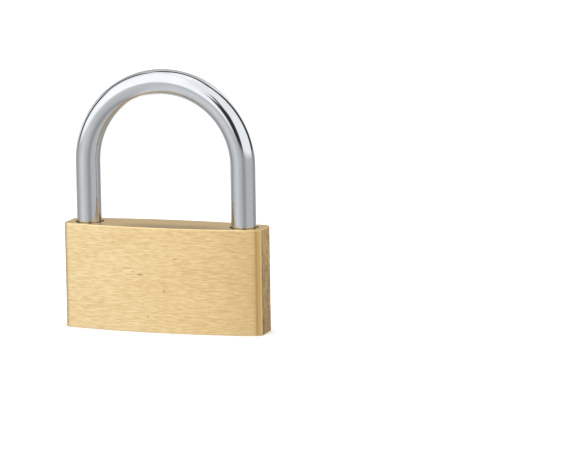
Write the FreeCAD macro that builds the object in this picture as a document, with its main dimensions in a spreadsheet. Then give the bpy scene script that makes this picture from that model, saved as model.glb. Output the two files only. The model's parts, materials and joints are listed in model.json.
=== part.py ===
import FreeCAD, Part
import math
import os
import re

import Sketcher
from FreeCAD import Placement, Rotation, Vector

# A solid brass padlock with a chrome-plated steel shackle, in millimetres.
#
# Frame: origin at the centre of the body's bottom face, +Z up, +X towards the toe leg,
# -Y towards the front. The plug turns about Z. It is drawn a quarter turn past the
# position where the key goes in: both bolts are drawn in, and the shackle is down.
# The body's pin chambers run along X from the toe side, and the plug's own chambers,
# which have turned with it, point along +Y.

PIN_NUMBERS = range(1, 6)

# Driving dimensions: alias, value, meaning.
DIMENSIONS = [
    ("body_width", 60.0, "body across the flat sides"),
    ("body_height", 30.4, "body from bottom to top face"),
    ("mid_thickness", 15.0, "body thickness at the crown"),
    ("end_thickness", 9.7, "body thickness at the flat sides, before rounding"),
    ("corner_radius", 2.2, "rounding of the four upright corners"),
    ("rim_chamfer", 0.25, "broken edge round the top and bottom faces"),
    ("leg_spacing", 47.0, "shackle legs, centre to centre"),
    ("bar_radius", 3.7, "shackle bar"),
    ("arc_height", 47.8, "height of the centre of the shackle's half circle"),
    ("leg_bore_radius", 4.1, "holes for the legs"),
    ("toe_bore_floor", 20.4, "height of the toe hole's floor"),
    ("heel_bore_floor", 2.4, "height of the heel hole's floor"),
    ("toe_tip", 21.0, "height of the toe leg's end"),
    ("heel_tip", 6.9, "height of the heel leg's end"),
    ("tip_chamfer", 0.8, "chamfer on both ends of the shackle"),
    ("lift_travel", 10.5, "how far the shackle pops up"),
    ("neck_top", 21.5, "top of the turned neck in the heel leg"),
    ("neck_radius", 2.3, "turned neck in the heel leg"),
    ("stop_gap", 0.05, "retaining pin to the collar under the neck, shackle up"),
    ("stop_pin_height", 20.2, "height of the shackle retaining pin"),
    ("stop_pin_radius", 1.0, "shackle retaining pin"),
    ("stop_pin_gap", 0.2, "shackle retaining pin's end to the neck"),
    ("bolt_height", 25.5, "height of the bolts' axis"),
    ("bolt_radius", 2.3, "bolts"),
    ("bolt_bore_radius", 2.36, "cross-bore for the bolts"),
    ("bolt_reach", 19.3, "bolt's nose from the middle, drawn in"),
    ("bolt_throw", 2.6, "travel of each bolt, and the drive pins' eccentricity"),
    ("nose_chamfer", 0.4, "chamfer on the bolt's nose"),
    ("bolt_plug_gap", 0.1, "bolt bore plug's inner end to the toe hole"),
    ("notch_depth", 2.35, "bolt notches in the legs"),
    ("notch_half_height", 2.4, "bolt notches in the legs, from the bolts' axis"),
    ("tail_end", 1.75, "bolt's tail past the middle"),
    ("tail_root", 4.6, "start of the bolt's full section, from the middle"),
    ("tail_gap", 0.1, "half the gap between the two tails"),
    ("slot_inner", 0.9, "drive slot's wall on the tail's side, from the middle"),
    ("slot_outer", 1.5, "drive slot's wall on the nose's side, from the middle"),
    ("slot_roof", 25.9, "height of the drive slot's roof"),
    ("plug_radius", 5.0, "plug's barrel"),
    ("plug_bore_radius", 5.05, "bore for the plug's barrel"),
    ("plug_top", 20.6, "height of the plug's inner end"),
    ("head_radius", 5.6, "plug's head"),
    ("head_bore_radius", 5.65, "counterbore for the plug's head"),
    ("head_depth", 1.2, "plug head's thickness"),
    ("head_gap", 0.02, "plug's head to the counterbore's step"),
    ("cavity_roof", 28.1, "height of the roof over the bolts' tails"),
    ("groove_radius", 3.8, "bottom of the plug's retaining groove"),
    ("groove_half_height", 0.85, "plug's retaining groove, from its pin's axis"),
    ("plug_pin_height", 18.7, "height of the plug retaining pin"),
    ("plug_pin_radius", 0.8, "plug retaining pin"),
    ("plug_pin_reach", 4.1, "plug retaining pin's inner end, from the middle"),
    ("keyway_top", 17.4, "height of the keyway's end"),
    ("first_chamber", 4.2, "height of the lowest pin chamber"),
    ("chamber_pitch", 3.0, "spacing of the pin chambers"),
    ("chamber_radius", 1.2, "pin chambers"),
    ("pin_radius", 1.14, "key pins and driver pins"),
    ("pin_edge", 0.2, "chamfer on the ends at the shear line and on the driver pins"),
    ("cone_height", 0.6, "key pin's cone"),
    ("cone_tip_radius", 0.5, "flat on the key pin's cone"),
    ("key_pin_sink", 0.1, "key pin's head, below the plug's surface"),
    ("driver_start", 5.04, "driver pin's inner end, from the middle"),
    ("driver_length", 5.2, "driver pins"),
    ("chamber_plug_start", 18.2, "chamber plug's inner end, from the middle"),
    ("pin_coil_radius", 0.92, "pin spring, at the wire's centre"),
    ("pin_wire_radius", 0.15, "pin spring's wire"),
    ("pin_coil_turns", 9.0, "pin spring"),
    ("lift_coil_radius", 2.9, "shackle spring, at the wire's centre"),
    ("lift_wire_radius", 0.3, "shackle spring's wire"),
    ("lift_coil_turns", 5.0, "shackle spring"),
    ("coil_gap", 0.05, "each spring's ends to its seats"),
    ("cam_radius", 4.6, "cam's disc"),
    ("cam_thickness", 1.6, "cam's disc"),
    ("tongue_width", 2.2, "cam's tongue and the plug's slot for it"),
    ("tongue_depth", 0.8, "cam's tongue and the plug's slot for it"),
    ("tongue_length", 7.0, "cam's tongue"),
    ("drive_pin_radius", 0.8, "drive pins"),
    ("drive_pin_top", 25.6, "height of the drive pins' ends"),
    ("key_pin_length_1", 3.4, "key pin next to the plug's head"),
    ("key_pin_length_2", 4.2, "second key pin"),
    ("key_pin_length_3", 3.6, "third key pin"),
    ("key_pin_length_4", 4.6, "fourth key pin"),
    ("key_pin_length_5", 3.9, "innermost key pin"),
]

# Keyway, seen from above at the drawn position: across the blade, then towards the pins.
# The two steps are the wards that guide the blade.
KEYWAY = [
    ("-0.5", "-3.9"), ("1.1", "-3.9"), ("1.1", "-2.2"), ("0.45", "-1.7"), ("0.45", "-0.8"),
    ("1.1", "-0.3"), ("1.1", "2.8"), ("-1.1", "2.8"), ("-1.1", "1.3"), ("-0.45", "0.8"),
    ("-0.45", "-0.1"), ("-1.1", "-0.6"), ("-1.1", "-3.3"),
]

SIZE = {alias: value for alias, value, meaning in DIMENSIONS}

document = FreeCAD.newDocument("Padlock")
sheet = document.addObject("Spreadsheet::Sheet", "Dims")


# The sheet and its expressions

def fill_sheet():
    """Put each driving dimension in a cell of its own, under its alias."""
    for row, (alias, value, meaning) in enumerate(DIMENSIONS, start=1):
        sheet.set(f"A{row}", meaning)
        sheet.set(f"B{row}", str(value))
        sheet.setAlias(f"B{row}", alias)
    document.recompute()


def on_sheet(expression):
    """Expression with each alias in it turned into a reference to the sheet."""
    return re.sub(r"[a-z]\w*", lambda word: "Dims." + word[0] if word[0] in SIZE else word[0], expression)


def bind(thing, **expressions):
    """Bind properties to expressions; two underscores in a property's name stand for a dot."""
    for name, expression in expressions.items():
        thing.setExpression(name.replace("__", "."), on_sheet(expression))


# Part primitives and booleans

ALONG = {
    "+X": Rotation(Vector(0, 1, 0), 90),
    "+Y": Rotation(Vector(1, 0, 0), -90),
    "+Z": Rotation(),
}


def place(solid, along, start):
    """Turn a primitive's own Z along an axis, with its foot at a bound point."""
    solid.Placement = Placement(Vector(), ALONG[along])
    x, y, z = start
    bind(solid, Placement__Base__x=x, Placement__Base__y=y, Placement__Base__z=z)
    return solid


def rod(name, radius, length, along, start):
    """Part::Cylinder with a bound radius and length."""
    solid = document.addObject("Part::Cylinder", name)
    bind(solid, Radius=radius, Height=length)
    return place(solid, along, start)


def cone(name, first_radius, last_radius, length, along, start):
    """Part::Cone with bound radii and length."""
    solid = document.addObject("Part::Cone", name)
    bind(solid, Radius1=first_radius, Radius2=last_radius, Height=length)
    return place(solid, along, start)


def block(name, size, corner):
    """Part::Box with a bound size, from its lowest corner."""
    solid = document.addObject("Part::Box", name)
    bind(solid, Length=size[0], Width=size[1], Height=size[2])
    return place(solid, "+Z", corner)


def cut(name, base, tool):
    """Part::Cut."""
    result = document.addObject("Part::Cut", name)
    result.Base = base
    result.Tool = tool
    return result


def fuse(name, solids):
    """Part::MultiFuse."""
    result = document.addObject("Part::MultiFuse", name)
    result.Shapes = solids
    result.Refine = True
    return result


def group(name, solids):
    """Part::Compound of separate solids."""
    result = document.addObject("Part::Compound", name)
    result.Links = solids
    return result


# PartDesign bodies, sketches and features

def new_body(name):
    """PartDesign::Body with nothing in it yet."""
    return document.addObject("PartDesign::Body", name)


def new_sketch(body, name, plane, offset=("0", "0", "0")):
    """Sketch on one of the body's own origin planes, moved by a bound offset in the plane's axes."""
    sketch = body.newObject("Sketcher::SketchObject", name)
    support = [feature for feature in body.Origin.OriginFeatures if feature.Role == plane][0]
    sketch.AttachmentSupport = (support, [""])
    sketch.MapMode = "FlatFace"
    x, y, z = offset
    bind(sketch, AttachmentOffset__Base__x=x, AttachmentOffset__Base__y=y, AttachmentOffset__Base__z=z)
    return sketch


def constrain(sketch, kind, where, expression):
    """Dimension in a sketch, bound to an expression."""
    index = sketch.addConstraint(Sketcher.Constraint(kind, *where, SIZE.get(expression, 1.0)))
    sketch.setExpression(f"Constraints[{index}]", on_sheet(expression))


def circle(body, name, plane, offset, radius):
    """Sketch of one circle about its own origin."""
    sketch = new_sketch(body, name, plane, offset)
    sketch.addGeometry(Part.Circle(Vector(), Vector(0, 0, 1), 1.0), False)
    sketch.addConstraint(Sketcher.Constraint("Coincident", 0, 3, -1, 1))
    constrain(sketch, "Radius", (0,), radius)
    return sketch


def outline(body, name, plane, offset, points):
    """Sketch of one closed polygon, each corner placed by a bound X and Y."""
    sketch = new_sketch(body, name, plane, offset)
    count = len(points)
    turn = 2 * math.pi / count
    spots = [Vector(math.cos(turn * step), math.sin(turn * step), 0) for step in range(count)]
    for step in range(count):
        sketch.addGeometry(Part.LineSegment(spots[step], spots[(step + 1) % count]), False)
    for step in range(count):
        sketch.addConstraint(Sketcher.Constraint("Coincident", step, 2, (step + 1) % count, 1))
    for step, (x, y) in enumerate(points):
        constrain(sketch, "DistanceX", (-1, 1, step, 1), x)
        constrain(sketch, "DistanceY", (-1, 1, step, 1), y)
    return sketch


def pad(body, name, sketch, length):
    """Pad along the sketch's normal."""
    feature = body.newObject("PartDesign::Pad", name)
    feature.Profile = sketch
    bind(feature, Length=length)
    return feature


def pocket(body, name, sketch, length, along_normal=False, both_ways=False):
    """Pocket against the sketch's normal, unless along it or both ways."""
    feature = body.newObject("PartDesign::Pocket", name)
    feature.Profile = sketch
    feature.Reversed = along_normal
    feature.Midplane = both_ways
    bind(feature, Length=length)
    return feature


def lathe(body, kind, name, sketch, angle="360"):
    """Revolution or Groove of a sketch about its own upright axis."""
    feature = body.newObject(f"PartDesign::{kind}", name)
    feature.Profile = sketch
    feature.ReferenceAxis = (sketch, ["V_Axis"])
    bind(feature, Angle=angle)
    return feature


def dress(body, kind, name, base, edges, size, expression):
    """Fillet or Chamfer on the chosen edges of the last feature."""
    feature = body.newObject(f"PartDesign::{kind}", name)
    feature.Base = (base, edges)
    bind(feature, **{size: expression})
    return feature


def edges_where(feature, test):
    """Names of a feature's edges that pass a test."""
    document.recompute()
    return [f"Edge{index}" for index, edge in enumerate(feature.Shape.Edges, start=1) if test(edge)]


def chamber_height(number):
    """Expression for the height of one pin chamber."""
    return f"(first_chamber + {number - 1} * chamber_pitch)"


# The body

def crowned_sketch(body):
    """Plan of the body: a shallow arc front and back, and two flat sides."""
    sketch = new_sketch(body, "plan", "XY_Plane")
    half_width = SIZE["body_width"] / 2
    half_end = SIZE["end_thickness"] / 2
    half_mid = SIZE["mid_thickness"] / 2
    corners = [Vector(-half_width, -half_end, 0), Vector(half_width, -half_end, 0)]
    corners += [Vector(half_width, half_end, 0), Vector(-half_width, half_end, 0)]
    sketch.addGeometry(Part.Arc(corners[0], Vector(0, -half_mid, 0), corners[1]), False)
    sketch.addGeometry(Part.LineSegment(corners[1], corners[2]), False)
    sketch.addGeometry(Part.Arc(corners[2], Vector(0, half_mid, 0), corners[3]), False)
    sketch.addGeometry(Part.LineSegment(corners[3], corners[0]), False)
    for joint in [(0, 2, 1, 1), (1, 2, 2, 1), (2, 2, 3, 1), (3, 2, 0, 1)]:
        sketch.addConstraint(Sketcher.Constraint("Coincident", *joint))
    for side in (1, 3):
        sketch.addConstraint(Sketcher.Constraint("Symmetric", side, 1, side, 2, -1))
    sketch.addConstraint(Sketcher.Constraint("Symmetric", 0, 1, 0, 2, -2))
    constrain(sketch, "DistanceX", (0, 1, 0, 2), "body_width")
    constrain(sketch, "DistanceY", (1, 1, 1, 2), "end_thickness")
    crown = "(mid_thickness - end_thickness)"
    arc_radius = f"((body_width * body_width) / ({crown} * 4) + {crown} / 4)"
    for arc in (0, 2):
        constrain(sketch, "Radius", (arc,), arc_radius)
    return sketch


def bored(body, name, plane, offset, radius, length, along_normal=False):
    """One round bore in the body, from its mouth inwards."""
    sketch = circle(body, f"{name}_mouth", plane, offset, radius)
    return pocket(body, name, sketch, length, along_normal)


def make_lock_body():
    """Brass block with the leg holes, the plug's bore, the bolts' bore and the pin chambers."""
    body = new_body("lock_body")
    blank = pad(body, "blank", crowned_sketch(body), "body_height")
    upright = edges_where(blank, lambda edge: edge.BoundBox.ZLength > 1.0)
    corners = dress(body, "Fillet", "corners", blank, upright, "Radius", "corner_radius")
    level = edges_where(corners, lambda edge: edge.BoundBox.ZLength < 0.01)
    dress(body, "Chamfer", "rims", corners, level, "Size", "rim_chamfer")
    for name, x, floor in (("heel_hole", "-leg_spacing / 2", "heel_bore_floor"),
                           ("toe_hole", "leg_spacing / 2", "toe_bore_floor")):
        bored(body, name, "XY_Plane", (x, "0", "body_height"), "leg_bore_radius", f"body_height - {floor}")
    bored(body, "plug_bore", "XY_Plane", ("0", "0", "0"), "plug_bore_radius", "cavity_roof", True)
    bored(body, "plug_counterbore", "XY_Plane", ("0", "0", "0"), "head_bore_radius", "head_depth", True)
    bored(body, "bolt_bore", "YZ_Plane", ("0", "bolt_height", "body_width / 2"),
          "bolt_bore_radius", "body_width / 2 + leg_spacing / 2")
    for number in PIN_NUMBERS:
        bored(body, f"chamber_{number}", "YZ_Plane", ("0", chamber_height(number), "body_width / 2"),
              "chamber_radius", "body_width / 2")
    bored(body, "plug_pin_bore", "YZ_Plane", ("0", "plug_pin_height", "body_width / 2"),
          "plug_pin_radius", "body_width / 2")
    bored(body, "stop_pin_bore", "YZ_Plane", ("0", "stop_pin_height", "-body_width / 2"),
          "stop_pin_radius", "body_width / 2 - leg_spacing / 2", True)


def make_bore_plugs():
    """Brass plugs that close the bolts' bore and the pin chambers, flush with the toe side."""
    inner_end = "(leg_spacing / 2 + leg_bore_radius + bolt_plug_gap)"
    rod("bolt_bore_plug", "bolt_bore_radius", f"body_width / 2 - {inner_end}", "+X",
        (inner_end, "0", "bolt_height"))
    plugs = []
    for number in PIN_NUMBERS:
        plugs.append(rod(f"chamber_plug_{number}", "chamber_radius", "body_width / 2 - chamber_plug_start",
                         "+X", ("chamber_plug_start", "0", chamber_height(number))))
    group("chamber_plugs", plugs)


def make_retaining_pins():
    """Pins that hold the plug in the body and stop the shackle's lift."""
    rod("plug_retaining_pin", "plug_pin_radius", "body_width / 2 - plug_pin_reach", "+X",
        ("plug_pin_reach", "0", "plug_pin_height"))
    rod("shackle_retaining_pin", "stop_pin_radius",
        "body_width / 2 - leg_spacing / 2 - neck_radius - stop_pin_gap", "+X",
        ("-body_width / 2", "0", "stop_pin_height"))


# The shackle

def make_shackle():
    """Round bar bent over a half circle, with a turned neck in the heel and two bolt notches."""
    body = new_body("shackle")
    arch_section = new_sketch(body, "arch_section", "XY_Plane", ("0", "0", "arc_height"))
    arch_section.addGeometry(Part.Circle(Vector(SIZE["leg_spacing"] / 2, 0, 0), Vector(0, 0, 1), 1.0), False)
    arch_section.addConstraint(Sketcher.Constraint("PointOnObject", 0, 3, -1))
    constrain(arch_section, "DistanceX", (-1, 1, 0, 3), "leg_spacing / 2")
    constrain(arch_section, "Radius", (0,), "bar_radius")
    arch = lathe(body, "Revolution", "arch", arch_section, "180")
    arch.Reversed = True
    for name, x, tip in (("toe", "leg_spacing / 2", "toe_tip"), ("heel", "-leg_spacing / 2", "heel_tip")):
        section = circle(body, f"{name}_section", "XY_Plane", (x, "0", tip), "bar_radius")
        leg = pad(body, f"{name}_leg", section, f"arc_height - {tip}")
        end = edges_where(leg, lambda edge: edge.BoundBox.ZMax < SIZE[tip] + 0.01)
        dress(body, "Chamfer", f"{name}_end", leg, end, "Size", "tip_chamfer")
    collar_top = "(stop_pin_height - stop_pin_radius - stop_gap - lift_travel)"
    outside = "(bar_radius + 1)"
    neck = outline(body, "neck_profile", "XZ_Plane", ("-leg_spacing / 2", "0", "0"), [
        ("neck_radius", collar_top), (outside, collar_top),
        (outside, "neck_top"), ("neck_radius", "neck_top"),
    ])
    lathe(body, "Groove", "neck", neck)
    notch_floor = "(leg_spacing / 2 - bar_radius + notch_depth)"
    inside = "(leg_spacing / 2 - bar_radius - 1)"
    for name, side in (("toe_notch", ""), ("heel_notch", "-")):
        corners = [
            (f"{side}{inside}", "bolt_height - notch_half_height"),
            (f"{side}{notch_floor}", "bolt_height - notch_half_height"),
            (f"{side}{notch_floor}", "bolt_height + notch_half_height"),
            (f"{side}{inside}", "bolt_height + notch_half_height"),
        ]
        flat = outline(body, f"{name}_profile", "XZ_Plane", ("0", "0", "0"), corners)
        pocket(body, name, flat, "4 * bar_radius", both_ways=True)


# The plug and its drive

def make_plug():
    """Turned cylinder with a head, a retaining groove, the keyway, five chambers and a slot."""
    body = new_body("plug")
    step = "(head_depth - head_gap)"
    groove_floor = "(plug_pin_height - groove_half_height)"
    groove_top = "(plug_pin_height + groove_half_height)"
    profile = outline(body, "profile", "XZ_Plane", ("0", "0", "0"), [
        ("0", "0"), ("head_radius", "0"), ("head_radius", step), ("plug_radius", step),
        ("plug_radius", groove_floor), ("groove_radius", groove_floor), ("groove_radius", groove_top),
        ("plug_radius", groove_top), ("plug_radius", "plug_top"), ("0", "plug_top"),
    ])
    lathe(body, "Revolution", "turned", profile)
    keyway = outline(body, "keyway_profile", "XY_Plane", ("0", "0", "0"), KEYWAY)
    pocket(body, "keyway", keyway, "keyway_top", along_normal=True)
    for number in PIN_NUMBERS:
        mouth = circle(body, f"pin_mouth_{number}", "XZ_Plane", ("0", chamber_height(number), "-plug_radius"),
                       "chamber_radius")
        pocket(body, f"pin_chamber_{number}", mouth, "plug_radius", along_normal=True)
    half_tongue = "tongue_width / 2"
    slot = outline(body, "slot_profile", "XY_Plane", ("0", "0", "plug_top"), [
        ("-plug_radius - 1", f"-{half_tongue}"), ("plug_radius + 1", f"-{half_tongue}"),
        ("plug_radius + 1", half_tongue), ("-plug_radius - 1", half_tongue),
    ])
    pocket(body, "slot", slot, "tongue_depth")


def drive_pin_spots():
    """Where the two drive pins stand: front for the heel bolt, back for the toe bolt."""
    return [("heel", "-bolt_throw"), ("toe", "bolt_throw")]


def make_cam():
    """Disc on the plug's end, with a tongue in the plug's slot and a hole for each drive pin."""
    disc = rod("cam_disc", "cam_radius", "cam_thickness", "+Z", ("0", "0", "plug_top"))
    tongue = block("cam_tongue", ("tongue_length", "tongue_width", "tongue_depth"),
                   ("-tongue_length / 2", "-tongue_width / 2", "plug_top - tongue_depth"))
    holes = []
    pins = []
    for name, y in drive_pin_spots():
        start = ("0", y, "plug_top")
        holes.append(rod(f"{name}_pin_hole", "drive_pin_radius", "cam_thickness", "+Z", start))
        pins.append(rod(f"{name}_drive_pin", "drive_pin_radius", "drive_pin_top - plug_top", "+Z", start))
    cut("cam", fuse("cam_blank", [disc, tongue]), group("cam_holes", holes))
    group("drive_pins", pins)


# The bolts

def make_bolt(name, side):
    """Round bolt whose half-round tail passes the other bolt's and holds a slot for its drive pin.

    The heel bolt (side -1) has its tail in front, and the toe bolt (side 1) behind.
    """
    body = new_body(name)
    reach = f"{side} * bolt_reach"
    turned = circle(body, f"{name}_end", "YZ_Plane", ("0", "bolt_height", f"-({side}) * tail_end"),
                    "bolt_radius")
    bar = pad(body, f"{name}_bar", turned, "bolt_reach + tail_end")
    bar.Reversed = side < 0
    nose = edges_where(bar, lambda edge: abs(edge.BoundBox.Center.x - side * SIZE["bolt_reach"]) < 0.01
                       and edge.BoundBox.XLength < 0.01)
    dress(body, "Chamfer", f"{name}_nose", bar, nose, "Size", "nose_chamfer")
    outside = "(bolt_radius + 1)"
    tail = outline(body, f"{name}_tail_profile", "XY_Plane", ("0", "0", "bolt_height"), [
        (f"{side} * tail_root", f"{side} * tail_gap"),
        (f"-({side}) * (tail_end + 1)", f"{side} * tail_gap"),
        (f"-({side}) * (tail_end + 1)", f"-({side}) * {outside}"),
        (f"{side} * tail_root", f"-({side}) * {outside}"),
    ])
    pocket(body, f"{name}_tail", tail, "4 * bolt_radius", both_ways=True)
    slot = outline(body, f"{name}_slot_profile", "XZ_Plane", ("0", "0", "0"), [
        (f"{side} * slot_outer", f"bolt_height - {outside}"), (f"{side} * slot_outer", "slot_roof"),
        (f"-({side}) * slot_inner", "slot_roof"), (f"-({side}) * slot_inner", f"bolt_height - {outside}"),
    ])
    pocket(body, f"{name}_slot", slot, "4 * bolt_radius", both_ways=True)


# The pins and the springs

def make_key_pin(number):
    """Pin with a cone on its inner end and a broken edge at the shear line."""
    z = chamber_height(number)
    length = f"key_pin_length_{number}"
    head = "(plug_radius - key_pin_sink)"
    tip = cone(f"key_pin_{number}_tip", "cone_tip_radius", "pin_radius", "cone_height", "+Y",
               ("0", f"{head} - {length}", z))
    barrel = rod(f"key_pin_{number}_barrel", "pin_radius", f"{length} - cone_height - pin_edge", "+Y",
                 ("0", f"{head} - {length} + cone_height", z))
    edge = cone(f"key_pin_{number}_head", "pin_radius", "pin_radius - pin_edge", "pin_edge", "+Y",
                ("0", f"{head} - pin_edge", z))
    fuse(f"key_pin_{number}", [tip, barrel, edge])


def make_driver_pin(number):
    """Plain pin with a broken edge at each end, in the body's chamber."""
    z = chamber_height(number)
    barrel = rod(f"driver_{number}_barrel", "pin_radius", "driver_length - 2 * pin_edge", "+X",
                 ("driver_start + pin_edge", "0", z))
    inner = cone(f"driver_{number}_inner", "pin_radius - pin_edge", "pin_radius", "pin_edge", "+X",
                 ("driver_start", "0", z))
    outer = cone(f"driver_{number}_outer", "pin_radius", "pin_radius - pin_edge", "pin_edge", "+X",
                 ("driver_start + driver_length - pin_edge", "0", z))
    fuse(f"driver_pin_{number}", [barrel, inner, outer])


def make_spring(name, coil_radius, wire_radius, turns, length, along, start):
    """Compression spring: a round wire carried along a helix from its first seat to its last."""
    body = new_body(name)
    wire = circle(body, f"{name}_wire", "XZ_Plane", (coil_radius, "0", "0"), wire_radius)
    coil = body.newObject("PartDesign::AdditiveHelix", f"{name}_coil")
    axis = [feature for feature in body.Origin.OriginFeatures if feature.Role == "Z_Axis"][0]
    coil.Profile = wire
    coil.ReferenceAxis = (axis, [""])
    coil.Mode = "height-turns-angle"
    travel = f"({length} - 2 * coil_gap - 2 * {wire_radius})"
    bind(coil, Height=travel, Turns=turns)
    return place(body, along, start)


def make_springs():
    """The shackle's spring, and one behind each driver pin."""
    make_spring("shackle_spring", "lift_coil_radius", "lift_wire_radius", "lift_coil_turns",
                "(heel_tip - heel_bore_floor)", "+Z",
                ("-leg_spacing / 2", "0", "heel_bore_floor + coil_gap + lift_wire_radius"))
    seat = "(driver_start + driver_length)"
    for number in PIN_NUMBERS:
        make_spring(f"pin_spring_{number}", "pin_coil_radius", "pin_wire_radius", "pin_coil_turns",
                    f"(chamber_plug_start - {seat})", "+X",
                    (f"{seat} + coil_gap + pin_wire_radius", "0", chamber_height(number)))


# The whole lock

NODES = ["lock_body", "bolt_bore_plug", "chamber_plugs", "plug_retaining_pin", "shackle_retaining_pin",
         "shackle", "shackle_spring", "plug", "cam", "drive_pins", "heel_bolt", "toe_bolt"]
for stem in ("key_pin", "driver_pin", "pin_spring"):
    NODES += [f"{stem}_{number}" for number in PIN_NUMBERS]


def check_document():
    """Stop if an object failed to compute, or a sub-part's shape is missing or not valid."""
    for thing in document.Objects:
        if {"Invalid", "Error"} & set(thing.State):
            raise RuntimeError(f"{thing.Label}: {thing.State}")
    for name in NODES:
        shape = document.getObject(name).Shape
        if shape.isNull() or not shape.isValid():
            raise RuntimeError(f"{name}: its shape is missing or not valid")


def write_parts():
    """Write each sub-part as a STEP file named after its node."""
    os.makedirs("parts", exist_ok=True)
    for name in NODES:
        part = document.getObject(name)
        part.Label = name
        part.Shape.exportStep(f"parts/{name}.step")
        box = part.Shape.optimalBoundingBox()
        print(f"{name:22s} {len(part.Shape.Solids)} solids {part.Shape.Volume:10.3f} mm3",
              f"x {box.XMin:.2f}..{box.XMax:.2f} y {box.YMin:.2f}..{box.YMax:.2f}",
              f"z {box.ZMin:.2f}..{box.ZMax:.2f}")


fill_sheet()
make_lock_body()
make_bore_plugs()
make_retaining_pins()
make_shackle()
make_plug()
make_cam()
make_bolt("heel_bolt", -1)
make_bolt("toe_bolt", 1)
for pin_number in PIN_NUMBERS:
    make_key_pin(pin_number)
    make_driver_pin(pin_number)
make_springs()
document.recompute()
check_document()
write_parts()
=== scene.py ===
import sys
import json
import logging
import math
from dataclasses import dataclass, field
from enum import Enum
from functools import cache
from typing import Any, Callable, Iterable, Sequence

import bpy
import numpy as np
from mathutils import Matrix, Vector


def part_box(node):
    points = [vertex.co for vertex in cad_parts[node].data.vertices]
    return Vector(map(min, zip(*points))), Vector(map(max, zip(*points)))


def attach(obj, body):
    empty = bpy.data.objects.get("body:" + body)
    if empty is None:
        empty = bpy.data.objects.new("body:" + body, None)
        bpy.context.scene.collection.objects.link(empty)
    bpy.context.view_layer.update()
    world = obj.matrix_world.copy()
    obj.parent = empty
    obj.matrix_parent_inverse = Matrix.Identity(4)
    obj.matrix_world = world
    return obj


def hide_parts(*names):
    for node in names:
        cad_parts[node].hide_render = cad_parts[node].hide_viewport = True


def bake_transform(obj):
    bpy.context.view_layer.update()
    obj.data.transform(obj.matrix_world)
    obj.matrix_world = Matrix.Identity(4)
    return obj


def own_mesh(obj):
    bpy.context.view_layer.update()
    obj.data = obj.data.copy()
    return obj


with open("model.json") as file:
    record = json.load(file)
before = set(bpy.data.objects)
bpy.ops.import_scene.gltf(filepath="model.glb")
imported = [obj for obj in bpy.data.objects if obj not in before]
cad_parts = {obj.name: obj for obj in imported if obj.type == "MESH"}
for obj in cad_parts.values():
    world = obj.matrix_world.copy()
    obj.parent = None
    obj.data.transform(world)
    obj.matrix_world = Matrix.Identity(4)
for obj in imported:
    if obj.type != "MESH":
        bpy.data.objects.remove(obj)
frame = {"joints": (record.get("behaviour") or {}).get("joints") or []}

# A solid brass padlock with a chrome-plated shackle. Sizes are in millimetres and are turned
# into metres where a mesh is written. The frame is the CAD model's: origin at the middle of
# the body's bottom face, +Z up, +X towards the toe leg, -Y towards the front.

LOG = logging.getLogger("padlock")
METRES = 0.001
QUARTER = math.pi / 2
FULL_TURN = 2 * math.pi
IN_DEGREES = math.degrees(1)
ARC_LIMIT = 0.4
ARC_HOLD = 1.15
SHARP_DEGREES = 32.0
Array = np.ndarray
Triple = tuple[float, float, float]
Color = Triple


class Axis(Enum):
    """Direction of a straight piece: its axis, then the two directions across it."""

    X = ((1, 0, 0), (0, 1, 0), (0, 0, 1))
    Y = ((0, 1, 0), (0, 0, 1), (1, 0, 0))
    Z = ((0, 0, 1), (1, 0, 0), (0, 1, 0))


@dataclass(frozen=True)
class Box:
    """Lowest and highest corners of a CAD node at rest, in millimetres."""

    low: Array
    high: Array

    @classmethod
    def of(cls, node: str) -> "Box":
        """Box of one CAD node.

        Args:
            node: the node's name.

        Returns:
            Its box in millimetres.
        """
        low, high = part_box(node)
        return cls(np.array(low) / METRES, np.array(high) / METRES)

    @property
    def middle(self) -> Array:
        """Centre of the box."""
        return (self.low + self.high) / 2

    @property
    def size(self) -> Array:
        """Extent along X, Y and Z."""
        return self.high - self.low


def boxed(node: str) -> Any:
    """Dataclass field that holds the box of one CAD node."""
    return field(default_factory=lambda: Box.of(node))


# Meshes

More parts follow.
